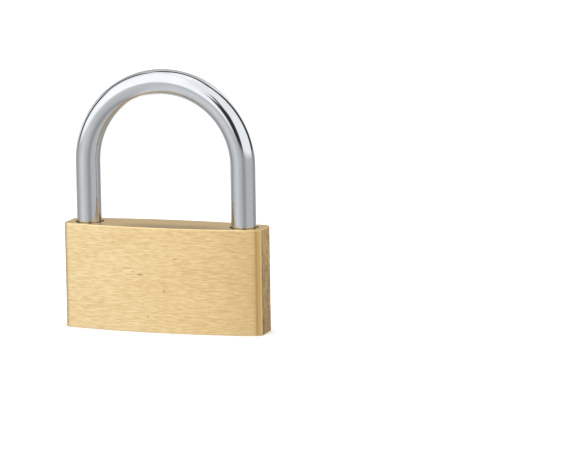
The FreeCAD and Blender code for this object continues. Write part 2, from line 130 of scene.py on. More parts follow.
@dataclass
class Shape:
    """Vertices in millimetres and faces as lists of vertex numbers."""

    points: Array
    faces: list[list[int]]

    @classmethod
    def joined(cls, shapes: Iterable["Shape"]) -> "Shape":
        """Several closed shapes as one mesh of separate shells.

        Args:
            shapes: the shapes to put together.

        Returns:
            One shape with all their points and faces.
        """
        points: list[Array] = []
        faces: list[list[int]] = []
        count = 0
        for shape in shapes:
            points.append(shape.points)
            faces += [[corner + count for corner in face] for face in shape.faces]
            count += len(shape.points)
        return cls(np.vstack(points), faces)

    @classmethod
    def stacked(cls, rings: Array) -> "Shape":
        """Closed skin over a stack of closed rings.

        Ring r and ring r + 1 are joined by one quad for each pair of neighbouring points,
        the last point of a ring is joined to its first, and the two end rings are filled.
        Each quad a, b, c, d adds a . (b x c) + a . (c x d), about six times its share of the
        volume; where the sum is negative, every face is turned over.

        Args:
            rings: array of rings by points by three coordinates.

        Returns:
            The skin, with its faces pointing outwards.
        """
        count, around = rings.shape[:2]
        index = np.arange(count * around).reshape(count, around)
        after = np.roll(index, -1, axis=1)
        quads = np.stack([index[:-1], after[:-1], after[1:], index[1:]], axis=-1).reshape(-1, 4)
        points = rings.reshape(-1, 3)
        centred = points - points.mean(axis=0)
        a, b, c, d = (centred[quads[:, corner]] for corner in range(4))
        volume = np.einsum("ij,ij->", a, np.cross(b, c)) + np.einsum("ij,ij->", a, np.cross(c, d))
        ends = [index[0, ::-1].tolist(), index[-1].tolist()]
        faces = quads.tolist() + ends
        if volume < 0:
            faces = [face[::-1] for face in faces]
        return cls(points, faces)

    def as_object(self, name: str, finish: "Finish") -> bpy.types.Object:
        """New object at the origin that holds this shape in metres.

        Args:
            name: the object's name.
            finish: its finish.

        Returns:
            The object, linked to the scene.
        """
        mesh = bpy.data.meshes.new(name)
        mesh.from_pydata((self.points * METRES).tolist(), [], self.faces)
        mesh.materials.append(finish.material())
        made = bpy.data.objects.new(name, mesh)
        bpy.context.scene.collection.objects.link(made)
        return made


def rounded(corners: Sequence[tuple[float, float]], radius: float, steps: int = 4) -> Array:
    """Open profile with each inner corner turned into an arc.

    An arc starts and ends at a distance of radius times the tangent of half the turn from its
    corner, or at ARC_LIMIT of the shorter side beside it. Its points are those of the quadratic
    curve (1 - t)^2 p + 2 (1 - t) t q + t^2 r with the corner as q. A point a little way along
    each side keeps the flat beyond it flat when the mesh is shaded smooth.

    Args:
        corners: the profile's corners, as along and out.
        radius: radius of the arcs.
        steps: pieces in each arc.

    Returns:
        The profile's points in order.
    """
    knots = np.array(corners, float)
    made = [knots[:1]]
    share = np.linspace(0, 1, steps + 1)[:, None]
    for before, corner, behind in zip(knots[:-2], knots[1:-1], knots[2:]):
        back, ahead = before - corner, behind - corner
        sides = np.linalg.norm(back), np.linalg.norm(ahead)
        back, ahead = back / sides[0], ahead / sides[1]
        turn = math.pi - math.acos(float(np.clip(back @ ahead, -1, 1)))
        reach = min(radius * math.tan(turn / 2), ARC_LIMIT * min(sides))
        start, end = corner + back * reach, corner + ahead * reach
        arc = (1 - share) ** 2 * start + 2 * (1 - share) * share * corner + share ** 2 * end
        made += [corner + back * reach * ARC_HOLD, arc, corner + ahead * reach * ARC_HOLD]
    made.append(knots[-1:])
    return np.vstack(made)


def stub(start: float, end: float, radius: float, share: float, edge: float) -> Array:
    """Profile of a rod with softened edges.

    Args:
        start: where it starts, along the axis.
        end: where it ends.
        radius: its radius.
        share: part of the radius from which its flat ends are drawn.
        edge: radius of its edges.

    Returns:
        The profile's points.
    """
    inner = share * radius
    return rounded([(start, inner), (start, radius), (end, radius), (end, inner)], edge, 3)


def turned(profile: Array, axis: Axis, centre: Sequence[float], sides: int = 96) -> Shape:
    """Surface of revolution: a profile carried round a straight axis.

    The point at angle a and profile point (s, r) is
    centre + s * along + r * (cos a * u + sin a * v).

    Args:
        profile: points as distance along the axis and radius.
        axis: direction of the axis.
        centre: point that the distances along the axis count from.
        sides: points in each ring.

    Returns:
        The closed surface.
    """
    along, first, second = (np.array(part, float) for part in axis.value)
    angle = np.linspace(0, FULL_TURN, sides, endpoint=False)
    circle = np.cos(angle)[:, None] * first + np.sin(angle)[:, None] * second
    rings = np.array(centre, float) + profile[:, :1, None] * along + profile[:, 1:, None] * circle
    return Shape.stacked(rings)


def prism(outline: Array, outward: Array, profile: Array) -> Shape:
    """Upright solid: a closed outline moved in and up along a profile.

    The point of outline point p with outward direction n at profile point (inset, z) is
    p - inset * n, at height z.

    Args:
        outline: closed outline in X and Y.
        outward: outward direction at each of its points.
        profile: points as inset and height.

    Returns:
        The closed solid.
    """
    flat = outline[None] - profile[:, :1, None] * outward[None]
    height = np.broadcast_to(profile[:, 1:, None], flat.shape[:2] + (1,))
    return Shape.stacked(np.concatenate([flat, height], axis=2))


def cuboid(low: Sequence[float], high: Sequence[float]) -> Shape:
    """Plain box between two corners, for cutting with."""
    (x0, y0, z0), (x1, y1, z1) = low, high
    ring = np.array([(x0, y0), (x1, y0), (x1, y1), (x0, y1)], float)
    rings = np.stack([np.column_stack([ring, np.full(4, z)]) for z in (z0, z1)])
    return Shape.stacked(rings)


def carved(blank: bpy.types.Object, tools: Sequence[bpy.types.Object],
           operation: str = "DIFFERENCE") -> bpy.types.Object:
    """Cut tools out of a piece one after the other, or add them to it, and delete them.

    Args:
        blank: the piece.
        tools: what is cut out or added; each gives the new surface its own material.
        operation: the Boolean modifier's operation.

    Returns:
        The piece with its new mesh.
    """
    for tool in tools:
        step = blank.modifiers.new(tool.name, "BOOLEAN")
        step.operation = operation
        step.solver = "EXACT"
        step.material_mode = "TRANSFER"
        step.object = tool
    graph = bpy.context.evaluated_depsgraph_get()
    mesh = bpy.data.meshes.new_from_object(blank.evaluated_get(graph))
    blank.modifiers.clear()
    blank.data = mesh
    for tool in tools:
        bpy.data.objects.remove(tool)
    return blank


@dataclass(frozen=True)
class Stretch:
    """Where a piece's far end should follow another body, from start to end; only its presence is
    used, and the piece is not made to follow.
    """

    body: str
    start: Triple
    end: Triple


def placed(piece: bpy.types.Object, body: str, replaced: str,
           stretch: Stretch | None = None) -> bpy.types.Object:
    """Shade a finished piece, let it move with its body in place of a CAD node, and report it; a
    stretched piece is only fixed in place, on no body.

    Args:
        piece: the finished piece.
        body: the CAD body that it moves with.
        replaced: the CAD node that it stands for.
        stretch: the body that its far end should follow, if it is another one; it is not made to
            follow it.

    Returns:
        The piece.
    """
    piece.data.shade_smooth()
    piece.data.set_sharp_from_angle(angle=math.radians(SHARP_DEGREES))
    if stretch is None:
        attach(piece, body)
    else:
        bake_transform(piece)
    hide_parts(replaced)
    LOG.info("%s: %d faces, on %s for %s", piece.name, len(piece.data.polygons), body, replaced)
    return piece


# Materials

def math_method(operation: str, reflected: bool = False) -> Callable[["Link", Any], "Link"]:
    """Method that adds a Math node on a link and another value.

    Args:
        operation: the node's operation.
        reflected: whether the other value comes first.

    Returns:
        The method.
    """
    def method(self: "Link", other: Any) -> "Link":
        """Math node on the two."""
        return self.graph.maths(operation, *((other, self) if reflected else (self, other)))

    return method


class Link:
    """Output socket of a node, on which the usual operators add Math nodes."""

    def __init__(self, graph: "Graph", socket: bpy.types.NodeSocket) -> None:
        """Wrap one socket of a graph."""
        self.graph = graph
        self.socket = socket

    __add__ = __radd__ = math_method("ADD")
    __sub__ = math_method("SUBTRACT")
    __rsub__ = math_method("SUBTRACT", reflected=True)
    __mul__ = __rmul__ = math_method("MULTIPLY")
    __truediv__ = math_method("DIVIDE")
    power = math_method("POWER")

    def __abs__(self) -> "Link":
        """Size without sign."""
        return self.graph.maths("ABSOLUTE", self)

    def rising(self, low: float, high: float) -> "Link":
        """Smooth step from 0 at low to 1 at high; it falls where high is below low."""
        return self.graph.node("ShaderNodeMapRange", {"interpolation_type": "SMOOTHSTEP"}, {
            "Value": self, "From Min": min(low, high), "From Max": max(low, high),
            "To Min": float(low > high), "To Max": float(low < high)})

    def within(self, low: float, high: float, soft: float) -> "Link":
        """1 between two limits and 0 outside them, with soft edges."""
        half = soft / 2
        return self.rising(low - half, low + half) * self.rising(high + half, high - half)


class Graph:
    """Node tree of one material or of the world."""

    def __init__(self, owner: bpy.types.ID) -> None:
        """Start with an empty tree.

        Args:
            owner: the material or world that the tree belongs to.
        """
        owner.use_nodes = True
        self.tree = owner.node_tree
        self.tree.nodes.clear()

    def node(self, kind: str, settings: dict[str, Any] | None = None,
             inputs: dict[Any, Any] | None = None, output: int | str = 0) -> Link:
        """Add a node.

        Args:
            kind: the node's type.
            settings: its own settings, set before its sockets.
            inputs: values or links of its sockets, by name or number.
            output: which of its outputs to return.

        Returns:
            That output, or an input of a node that has no outputs.
        """
        made = self.tree.nodes.new(kind)
        for name, value in (settings or {}).items():
            setattr(made, name, value)
        for name, value in (inputs or {}).items():
            if isinstance(value, Link):
                self.tree.links.new(value.socket, made.inputs[name])
            else:
                made.inputs[name].default_value = value
        return Link(self, (made.outputs or made.inputs)[output])

    def maths(self, operation: str, *values: Any) -> Link:
        """Math node on values or links, in the order of its inputs."""
        return self.node("ShaderNodeMath", {"operation": operation}, dict(enumerate(values)))

    def place(self) -> Link:
        """Place on the piece, in millimetres of the shared frame."""
        point = self.node("ShaderNodeTexCoord", output="Object")
        return self.node("ShaderNodeVectorMath", {"operation": "SCALE"},
                         {0: point, "Scale": 1 / METRES})

    def split(self, vector: Link) -> tuple[Link, Link, Link]:
        """The three numbers of a vector."""
        parts = self.node("ShaderNodeSeparateXYZ", inputs={0: vector}).socket.node.outputs
        return tuple(Link(self, part) for part in parts)

    def facing(self) -> tuple[Link, Link, Link]:
        """How far the surface faces along X, Y and Z, without sign."""
        x, y, z = self.split(self.node("ShaderNodeTexCoord", output="Normal"))
        return abs(x), abs(y), abs(z)

    def noise(self, point: Link, scale: float | Triple, detail: float = 3.0,
              rough: float = 0.55, warp: float = 0.0) -> Link:
        """Noise with one scale, or its own along each axis.

        Args:
            point: place in millimetres.
            scale: cycles per millimetre.
            detail: octaves.
            rough: strength of the finer octaves.
            warp: distortion of the pattern.

        Returns:
            A value about 0.5.
        """
        cycles = scale if isinstance(scale, tuple) else (scale,) * 3
        stretched = self.node("ShaderNodeVectorMath", {"operation": "MULTIPLY"},
                              {0: point, 1: cycles})
        return self.node("ShaderNodeTexNoise", {"noise_dimensions": "3D"}, {
            "Vector": stretched, "Scale": 1.0, "Detail": detail, "Roughness": rough,
            "Distortion": warp})

    def mix(self, share: Any, first: Any, second: Any) -> Link:
        """Mix of two colours.

        Args:
            share: 0 gives the first, 1 the second.
            first: colour or link.
            second: colour or link.

        Returns:
            The mixed colour.
        """
        ends = [value if isinstance(value, Link) else (*value, 1.0) for value in (first, second)]
        return self.node("ShaderNodeMix", {"data_type": "RGBA", "clamp_factor": True},
                         {0: share, 6: ends[0], 7: ends[1]}, 2)

    def bump(self, height: Link, depth: float, strength: float = 1.0) -> Link:
        """Normal bent by a height.

        Args:
            height: height as a value about 0 to 1.
            depth: millimetres that a height of 1 stands for.
            strength: share of the effect.

        Returns:
            The bent normal.
        """
        return self.node("ShaderNodeBump", inputs={"Height": height, "Distance": depth * METRES,
                                                   "Strength": strength})

    def metal(self, color: Link, rough: Link, normal: Link,
              glancing: Color = (1.0, 1.0, 1.0)) -> None:
        """Finish the tree with a metal surface.

        Args:
            color: colour seen square on.
            rough: roughness.
            normal: bent normal.
            glancing: tint of what it mirrors at a glancing angle.
        """
        surface = self.node("ShaderNodeBsdfPrincipled", inputs={
            "Base Color": color, "Metallic": 1.0, "Roughness": rough, "Normal": normal,
            "Specular Tint": (*glancing, 1.0)})
        self.node("ShaderNodeOutputMaterial", inputs={"Surface": surface})


@dataclass(frozen=True)
class Finish:
    """What every finish has: a name, and a material that is made once."""

    name: str

    @cache
    def material(self) -> bpy.types.Material:
        """The finish's material, made on first use."""
        made = bpy.data.materials.new(self.name)
        self.draw(Graph(made))
        return made

    def draw(self, graph: Graph) -> None:
        """Fill the material's tree; each finish has its own way."""
        raise NotImplementedError


@dataclass(frozen=True)
class Fleck:
    """Small dark mark on the front: its middle, half sizes and depth of colour."""

    across: float
    up: float
    length: float
    width: float
    depth: float


@dataclass(frozen=True)
class BrushedBrass(Finish):
    """Linished brass of the body: fine wavy grain along the front, duller sawn ends darkened
    further by painted shade, broken edges.

    The front is paler at the heel's end and deeper gold at the toe's: a painted light-to-shade
    gradient. Its toe-side corners carry painted shade and a painted highlight line, and the top a
    painted dark reflection.
    """

    name: str = "brushed_brass"
    # pale and gold are the two ends of the front's painted light-to-shade gradient along X; pale is
    # also the lighter colour of the top's grain.
    pale: Color = (0.890, 0.724, 0.432)
    gold: Color = (0.960, 0.722, 0.372)
    groove: Color = (0.70, 0.465, 0.20)
    top: Color = (0.74, 0.545, 0.31)
    # Dark brass of the painted reflection on the top face.
    painted_reflection_dark: Color = (0.33, 0.225, 0.17)
    # The ends: a duller sawn colour and a darker one for stains, which also stands in for painted
    # shade on the narrow sides.
    end: Color = (0.60, 0.42, 0.215)
    end_stain_and_shade: Color = (0.31, 0.215, 0.115)
    # Painted shade on the toe-side rounded corners.
    painted_corner_shade: Color = (0.66, 0.425, 0.165)
    # Light brass of the painted highlight line on the corners, also used for the worn top and
    # bottom edges.
    edge_highlight_and_wear: Color = (0.95, 0.74, 0.40)
    mark: Color = (0.42, 0.26, 0.10)
    glancing: Color = (0.76, 0.72, 0.62)
    half_width: float = 30.0
    half_flat: float = 4.85
    height: float = 30.4
    flecks: tuple[Fleck, ...] = (
        Fleck(-5.6, 16.7, 1.0, 0.22, 0.9), Fleck(1.6, 12.2, 0.4, 0.3, 0.6),
        Fleck(-3.3, 4.6, 0.4, 0.3, 0.5), Fleck(5.1, 21.6, 0.6, 0.18, 0.5),
        Fleck(-9.6, 18.4, 1.4, 0.2, 0.5), Fleck(-7.8, 17.5, 0.7, 0.15, 0.4),
    )

    def draw(self, graph: Graph) -> None:
        """Grain and colour by the side that the surface faces, with painted light and shade on the
        front, its corners, the ends and the top, then flecks and worn edges.
        """
        point = graph.place()
        x, y, z = graph.split(point)
        face_x, _, face_z = graph.facing()
        on_end = face_x.rising(0.90, 0.985)
        on_level = face_z.rising(0.75, 0.95)
        streaks = graph.noise(point, (0.38, 0.38, 2.9), 3.0, 0.55, 0.25)
        hairs = graph.noise(point, (0.16, 0.16, 4.2), 3.0, 0.65, 0.15)
        cloud = graph.noise(point, (0.05, 0.05, 0.10), 2.0, 0.5, 0.5)
        grain = streaks * 0.60 + hairs * 0.34 + cloud * 0.10
        # Painted light and shade: the front runs from pale at the heel's end to deeper gold at the
        # toe's.
        shade = graph.mix(x.rising(-self.half_width, self.half_width), self.pale, self.gold)
        front = graph.mix(grain.rising(0.65, 0.39) * 0.68, shade, self.groove)
        # Painted shade on the rounded corners between front and side: none at the heel's end, full
        # from the middle towards the toe, left off the top and bottom.
        turn = face_x.rising(0.08, 0.50) * face_x.rising(0.90, 0.78)
        turn = turn * x.rising(-self.half_width, 0.0)
        front = graph.mix(turn * (1 - on_level) * (0.6 + streaks * 0.6), front, self.painted_corner_shade)
        # Painted highlight: a light line along each corner where it turns into the narrow side.
        painted_highlight_line = face_x.within(0.86, 0.95, 0.05) * (0.4 + hairs * 0.6)
        front = graph.mix(painted_highlight_line, front, self.edge_highlight_and_wear)
        level_grain = graph.noise(point, (0.35, 3.2, 1.0), 3.0, 0.6, 0.4)
        top = graph.mix(level_grain.rising(0.3, 0.7) * 0.5, self.top, self.pale)
        # Painted dark reflection: a lens-shaped patch on the front half of the top, strongest a
        # little towards the toe.
        lens = y.rising(1.5, -self.half_flat) * abs(x - 4.0).rising(22.0, 6.0)
        lens = lens * z.rising(0.0, self.height)
        top = graph.mix(lens * (0.35 + level_grain * 0.45), top, self.painted_reflection_dark)
        # Ends: random mottle and stains between the two end colours; the dark one is partly painted
        # shade of the narrow sides, and the ends are darker towards the bottom.
        mottle = graph.noise(point, (1.0, 1.6, 0.16), 4.0, 0.65, 0.5)
        scale = graph.noise(point, (1.0, 1.1, 0.8), 3.0, 0.6, 0.4)
        stain = mottle * 0.65 + scale * 0.45 + z.rising(0.0, self.height) * 0.09
        stain = stain.rising(0.50, 0.68)
        end = graph.mix(stain, self.end_stain_and_shade, self.end)
        color = graph.mix(on_end, graph.mix(on_level, front, top), end)
        flat_front = (1 - on_end) * (1 - on_level)
        color = graph.mix(self.marks(x, z) * flat_front * y.rising(0.0, -1.0), color, self.mark)
        # Top and bottom edges of the front lightened as worn, in the colour of the painted
        # highlight.
        rim = abs(z - self.height / 2).rising(self.height / 2 - 0.40, self.height / 2 - 0.10)
        color = graph.mix(rim * flat_front * hairs.rising(0.3, 0.6) * 0.7, color, self.edge_highlight_and_wear)
        height = grain * (1 - on_end) + stain * 0.8 * on_end
        rough = 0.35 + hairs * 0.10 + on_end * 0.08
        graph.metal(color, rough, graph.bump(height, 0.05), self.glancing)

    def marks(self, x: Link, z: Link) -> Link:
        """Small dark flecks: each falls off with the scaled distance from its middle.

        Args:
            x: place along X.
            z: place along Z.

        Returns:
            The depth of colour, 0 away from them.
        """
        total: Any = 0.0
        for fleck in self.flecks:
            spot = (((x - fleck.across) / fleck.length).power(2.0)
                    + ((z - fleck.up) / fleck.width).power(2.0))
            total = spot.rising(1.9, 0.0) * fleck.depth + total
        return total


@dataclass(frozen=True)
class BoredBrass(Finish):
    """Brass inside a drilled hole: feed rings and a dull, slightly oily colour."""

    name: str = "bored_brass"
    light: Color = (0.42, 0.28, 0.12)
    dark: Color = (0.18, 0.11, 0.05)
    rings: Triple = (3.0, 0.4, 3.0)

    def draw(self, graph: Graph) -> None:
        """Close rings across the hole, with darker stains."""
        point = graph.place()
        feed = graph.noise(point, self.rings, 2.0, 0.5)
        stain = graph.noise(point, 0.25, 3.0, 0.6, 0.5)
        color = graph.mix((feed * 0.5 + stain * 0.6).rising(0.35, 0.75), self.dark, self.light)
        graph.metal(color, 0.42 + stain * 0.15, graph.bump(feed, 0.04))


@dataclass(frozen=True)
class TurnedBrass(Finish):
    """Brass turned about an upright axis: rings on its flat faces and along its barrel."""

    name: str = "turned_brass"
    light: Color = (0.86, 0.66, 0.34)
    dark: Color = (0.62, 0.44, 0.20)
    pitch: float = 0.22

    def draw(self, graph: Graph) -> None:
        """Tool marks that follow the distance from the axis and the height."""
        point = graph.place()
        x, y, z = graph.split(point)
        out = (x * x + y * y).power(0.5)
        _, _, face_z = graph.facing()
        on_level = face_z.rising(0.7, 0.9)
        rings = graph.node("ShaderNodeTexNoise", {"noise_dimensions": "1D"}, {
            "W": (out * on_level + z * (1 - on_level)) / self.pitch, "Scale": 1.0, "Detail": 3.0})
        stain = graph.noise(point, 0.35, 3.0, 0.6, 0.4)
        color = graph.mix((rings * 0.7 + stain * 0.45).rising(0.35, 0.8), self.dark, self.light)
        graph.metal(color, 0.26 + stain * 0.16, graph.bump(rings, 0.02))


@dataclass(frozen=True)
class Chrome(Finish):
    """Polished chrome plate: bright, cool grey, with hairline scratches and faint haze."""

    name: str = "chrome_plate"
    clean: Color = (0.562, 0.580, 0.600)
    hazy: Color = (0.515, 0.533, 0.555)
    bare: Color = (0.42, 0.40, 0.37)
    mouth: float = 30.4

    def draw(self, graph: Graph) -> None:
        """Scratches along and across the bar, haze in patches, and duller steel inside the body."""
        point = graph.place()
        _, _, z = graph.split(point)
        haze = graph.noise(point, (0.12, 0.12, 0.08), 3.0, 0.55, 0.6)
        swirl = graph.noise(point, (0.9, 0.9, 3.4), 4.0, 0.65, 1.6)
        hairs = graph.noise(point, (5.0, 5.0, 0.45), 3.0, 0.6, 0.4)
        scratch = swirl.within(0.485, 0.50, 0.008) * haze.rising(0.45, 0.62)
        inside = z.rising(self.mouth, self.mouth - 3.0)
        color = graph.mix(haze.rising(0.35, 0.7) * 0.6 + scratch * 0.4, self.clean, self.hazy)
        color = graph.mix(inside * (0.10 + hairs * 0.45), color, self.bare)
        rough = 0.015 + haze * 0.03 + scratch * 0.10 + inside * 0.07
        height = hairs * 0.06 + swirl * 0.03 + scratch * 0.15
        graph.metal(color, rough, graph.bump(height, 0.02, 0.4))


@dataclass(frozen=True)
class Steel(Finish):
    """Bare steel of the inner parts, with tool marks along one scale and an oil film."""

    name: str = "turned_steel"
    light: Color = (0.56, 0.55, 0.53)
    dark: Color = (0.33, 0.32, 0.31)
    marks: Triple = (3.2, 0.6, 0.6)
    rough: float = 0.26
    glancing: Color = (0.9, 0.9, 0.9)

    def draw(self, graph: Graph) -> None:
        """Tool marks and darker patches."""
        point = graph.place()
        marks = graph.noise(point, self.marks, 3.0, 0.55, 0.2)
        stain = graph.noise(point, 0.4, 3.0, 0.6, 0.5)
        color = graph.mix((marks * 0.6 + stain * 0.6).rising(0.38, 0.78), self.dark, self.light)
        graph.metal(color, self.rough + stain * 0.14, graph.bump(marks, 0.02), self.glancing)


@dataclass(frozen=True)
class Paper(Finish):
    """Matt pale sheet of the floor."""

    def draw(self, graph: Graph) -> None:
        """Faint tooth."""
        tooth = graph.noise(graph.place(), 0.2, 3.0)
        color = graph.mix(tooth, (0.80, 0.80, 0.80), (0.82, 0.82, 0.82))
        surface = graph.node("ShaderNodeBsdfPrincipled", inputs={
            "Base Color": color, "Roughness": 0.9, "Specular IOR Level": 0.1,
            "Normal": graph.bump(tooth, 0.05, 0.2)})
        graph.node("ShaderNodeOutputMaterial", inputs={"Surface": surface})


BRUSHED_BRASS = BrushedBrass()
BORED_BRASS = BoredBrass()
TURNED_BRASS = TurnedBrass()
FILLER_BRASS = BrushedBrass(name="flush_brass", end=(0.62, 0.43, 0.22))
PIN_BRASS = TurnedBrass("bottom_pin_brass", (0.80, 0.58, 0.27), (0.55, 0.37, 0.15), 0.3)
CHROME = Chrome()
BOLT_STEEL = Steel()
PIN_STEEL = Steel("dowel_steel", (0.52, 0.40, 0.25), (0.34, 0.25, 0.15), (0.6, 3.0, 3.0), 0.45,
                  (0.70, 0.58, 0.42))
DRIVER_STEEL = Steel("top_pin_steel", (0.62, 0.61, 0.60), marks=(4.0, 0.8, 0.8), rough=0.18)
SPRING_STEEL = Steel(name="coil_steel", light=(0.50, 0.50, 0.52), marks=(1.5, 1.5, 1.5), rough=0.24)


# The body

@dataclass
class LockBody:
    """Crowned brass block with its bores, and the fillers ground flush with its ends."""

    box: Box = boxed("lock_body")
    shackle: Box = boxed("shackle")
    fillers: Box = boxed("chamber_plugs")
    bolt_filler: Box = boxed("bolt_bore_plug")
    plug_pin: Box = boxed("plug_retaining_pin")
    shackle_pin: Box = boxed("shackle_retaining_pin")
    plug: Box = boxed("plug")
    spring: Box = boxed("shackle_spring")
    flat_thickness: float = 9.7
    corner_radius: float = 2.2
    rim_radius: float = 0.25
    leg_clearance: float = 0.4
    toe_floor: float = 20.4
    cavity_roof: float = 28.1
    fit: float = 0.05
    head_depth: float = 1.2
    mouth_break: float = 0.06
    filler_break: float = 0.06
    filler_slack: float = 0.004
    barrel: float = 5.0
    inner_end: float = 2.0
    below: float = -1.0
    chambers: int = 5

    def outline(self) -> tuple[Array, Array]:
        """Plan of the block: two shallow crowns, two flats and four rounded corners.

        The crown is a circle of radius w^2 / (8 s) + s / 2, where w is the width and s is how far
        the crown rises over the flats. A corner's circle touches the crown from inside, at the
        crown's radius less its own from the crown's centre, and the flat, at its own radius from
        it. One quarter is worked out and turned over into the others.

        Returns:
            Points and outward directions, anticlockwise.
        """
        half_width, half_thick = self.box.size[0] / 2, self.box.size[1] / 2
        rise = half_thick - self.flat_thickness / 2
        crown = half_width ** 2 / (2 * rise) + rise / 2
        centre_y = half_thick - crown
        corner_x = half_width - self.corner_radius
        corner_y = centre_y + math.sqrt((crown - self.corner_radius) ** 2 - corner_x ** 2)
        tip = math.atan2(corner_y - centre_y, corner_x)
        sweep = np.linspace(QUARTER, tip, 26)
        bend = np.linspace(tip, 0, 10)[1:]
        crown_out = np.column_stack([np.cos(sweep), np.sin(sweep)])
        bend_out = np.column_stack([np.cos(bend), np.sin(bend)])
        flat_y = np.linspace(corner_y, 0, 6)[1:]
        flat = np.column_stack([np.full(5, half_width), flat_y])
        quarter = np.vstack([crown_out * crown + (0, centre_y),
                             bend_out * self.corner_radius + (corner_x, corner_y), flat])
        outward = np.vstack([crown_out, bend_out, np.tile((1.0, 0.0), (5, 1))])
        turns = [(1, 1, 1), (1, -1, -1), (-1, -1, 1), (-1, 1, -1)]
        both = [np.vstack([(values * (x, y))[::order][:-1] for x, y, order in turns])[::-1]
                for values in (quarter, outward)]
        return both[0], both[1]

    def profile(self) -> Array:
        """Edge of the block from its bottom face, up its side and on to its top face."""
        top = self.box.size[2]
        inner = 3 * self.rim_radius
        levels = np.linspace(2 * self.rim_radius, top - 2 * self.rim_radius, 22)[1:-1]
        low = rounded([(inner, 0), (0, 0), (0, levels[0])], self.rim_radius)
        high = rounded([(0, levels[-1]), (0, top), (inner, top)], self.rim_radius)
        middle = np.column_stack([np.zeros(len(levels) - 2), levels[1:-1]])
        return np.vstack([low, middle, high])

    def bore(self, name: str, axis: Axis, centre: Sequence[float], radius: float,
             floor: float, mouth: float) -> bpy.types.Object:
        """Cutter for one round hole: a rod whose end flares where the hole's edge is broken.

        Args:
            name: the hole's name.
            axis: direction of the hole.
            centre: point on its axis; the coordinate along the axis is not used.
            radius: the hole's radius.
            floor: where it ends, along the axis.
            mouth: where it leaves the body.

        Returns:
            The cutter.
        """
        way = math.copysign(1.0, mouth - floor)
        flare = self.mouth_break
        corners = np.array([(floor, radius), (mouth - way * flare, radius),
                            (mouth + way * 2 * flare, radius + 3 * flare)])
        start = np.array(centre, float) * (1 - np.abs(np.array(axis.value[0])))
        return turned(corners, axis, start, 96).as_object(f"cut_{name}", BORED_BRASS)

    def cutters(self) -> list[bpy.types.Object]:
        """Every hole in the block."""
        top = self.box.high[2]
        bar = self.shackle.size[1] / 2
        leg = self.shackle.high[0] - bar
        hole = bar + self.leg_clearance
        right, left = self.box.high[0], self.box.low[0]
        heel_floor = self.spring.low[2] - self.fit
        made = [
            self.bore("heel_hole", Axis.Z, (-leg, 0, 0), hole, heel_floor, top),
            self.bore("toe_hole", Axis.Z, (leg, 0, 0), hole, self.toe_floor, top),
            self.bore("plug_bore", Axis.Z, (0, 0, 0), self.barrel + self.fit, self.cavity_roof,
                      self.below),
            self.bore("plug_seat", Axis.Z, (0, 0, 0), self.plug.size[0] / 2 + self.fit,
                      self.head_depth, 0.0),
            self.side_bore("bolt_bore", self.bolt_filler, self.bolt_filler.middle, -leg, right),
        ]
        for number, z in enumerate(self.chamber_heights(), start=1):
            made.append(self.side_bore(f"chamber_{number}", self.fillers, (0, 0, z),
                                       self.inner_end, right))
        made.append(self.side_bore("plug_pin_bore", self.plug_pin, self.plug_pin.middle,
                                   self.inner_end, right))
        made.append(self.side_bore("shackle_pin_bore", self.shackle_pin, self.shackle_pin.middle,
                                   -leg, left))
        return made

    def side_bore(self, name: str, box: Box, centre: Sequence[float], floor: float,
                  mouth: float) -> bpy.types.Object:
        """Cutter for a hole along X that a piece fills."""
        return self.bore(name, Axis.X, centre, box.size[1] / 2, floor, mouth)

    def chamber_heights(self) -> Array:
        """Heights of the pin chambers, from the box of their fillers."""
        box = self.fillers
        radius = box.size[1] / 2
        return np.linspace(box.low[2] + radius, box.high[2] - radius, self.chambers)

    def flush_rod(self, box: Box, centre: Sequence[float], outer: float) -> Shape:
        """Round rod along X whose edge is broken at its flush end.

        Args:
            box: box that gives its ends and radius.
            centre: a point on its axis.
            outer: where its flush end is.

        Returns:
            The rod.
        """
        inner = box.low[0] if outer > 0 else box.high[0]
        profile = stub(inner, outer, box.size[1] / 2 - self.filler_slack, 0.5, self.filler_break)
        return turned(profile, Axis.X, (0, centre[1], centre[2]), 72)

    def build(self) -> None:
        """Block with its holes cut, fillers and retaining pins."""
        block = prism(*self.outline(), self.profile()).as_object("body_block", BRUSHED_BRASS)
        placed(carved(block, self.cutters()), "case", "lock_body")
        right, left = self.box.high[0], self.box.low[0]
        heights = self.chamber_heights()
        for name, node, finish, slot, box, centres, end in (
                ("bolt_bore_filler", "bolt_bore_plug", FILLER_BRASS, "filler_brass",
                 self.bolt_filler, [self.bolt_filler.middle], right),
                ("chamber_fillers", "chamber_plugs", FILLER_BRASS, "filler_brass",
                 self.fillers, [(0, 0, z) for z in heights], right),
                ("plug_pin", "plug_retaining_pin", PIN_STEEL, "pin_steel",
                 self.plug_pin, [self.plug_pin.middle], right),
                ("shackle_pin", "shackle_retaining_pin", PIN_STEEL, "pin_steel",
                 self.shackle_pin, [self.shackle_pin.middle], left)):
            rods = Shape.joined(self.flush_rod(box, centre, end) for centre in centres)
            placed(rods.as_object(name, finish), "case", node)


# The shackle

